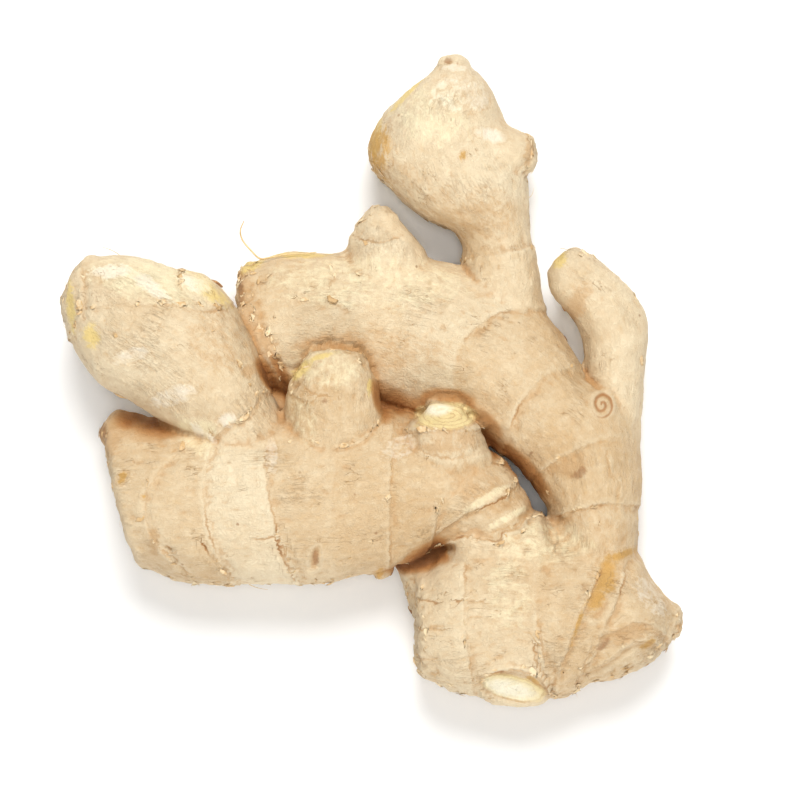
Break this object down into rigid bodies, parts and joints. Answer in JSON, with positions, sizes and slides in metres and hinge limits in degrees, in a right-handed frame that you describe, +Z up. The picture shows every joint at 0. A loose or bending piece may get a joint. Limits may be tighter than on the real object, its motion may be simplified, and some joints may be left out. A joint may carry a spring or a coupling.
{
  "type": "ginger root",
  "caption": "Fresh ginger root: a knobbly hand of fat, ringed lobes with a pear-shaped branch, a hooked finger, cut stubs and small buds, lying flat.",
  "frame": {"origin": "on the surface the root lies on, under the middle of its bounding box", "axes": "+Z up out of the surface, +Y towards the tip of the pear-shaped branch, +X towards the hooked finger"},
  "size_m": [0.1368, 0.1439, 0.0376],
  "materials": {
    "ginger_skin": "dry, papery, finely wrinkled tan skin, matt with a faint sheen"
  },
  "bodies": {
    "root": {"ginger_root": "ginger_skin"}
  },
  "joints": []
}
